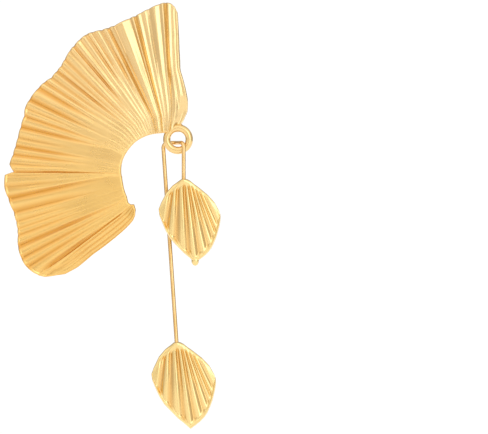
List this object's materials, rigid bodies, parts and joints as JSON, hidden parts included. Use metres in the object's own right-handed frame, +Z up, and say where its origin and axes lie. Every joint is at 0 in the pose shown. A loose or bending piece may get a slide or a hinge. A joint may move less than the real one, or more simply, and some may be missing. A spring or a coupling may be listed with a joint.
{
  "type": "fan earring",
  "caption": "Pleated fan earring: a gold crescent with a soldered ring, an ear post behind it, and a bent wire hanging in the ring with a fluted leaf on each end.",
  "frame": {"origin": "on the ear post's axis at the back face of its pad, where the ear lobe lies", "axes": "+Z up as the earring hangs, -Y out of the fan's front, +Y along the post into the ear, +X to the right of someone looking at the front"},
  "size_m": [0.043, 0.0143, 0.0856],
  "materials": {
    "gold_plate": "satin gold plate over pressed brass",
    "post_metal": "smooth gold plate",
    "leaf_gold": "polished gold plate over cast brass"
  },
  "bodies": {
    "fan_body": {"fan": "gold_plate", "ear_post": "post_metal"},
    "drop": {"drop_wire": "gold_plate", "upper_leaf": "leaf_gold", "lower_leaf": "leaf_gold"}
  },
  "joints": [
    {"name": "drop_swing", "type": "hinge", "parent": "fan_body", "child": "drop", "pos_m": [0.01311, -0.0019, -0.00931], "axis": [0, 1, 0], "range_deg": [-30, 18]}
  ]
}
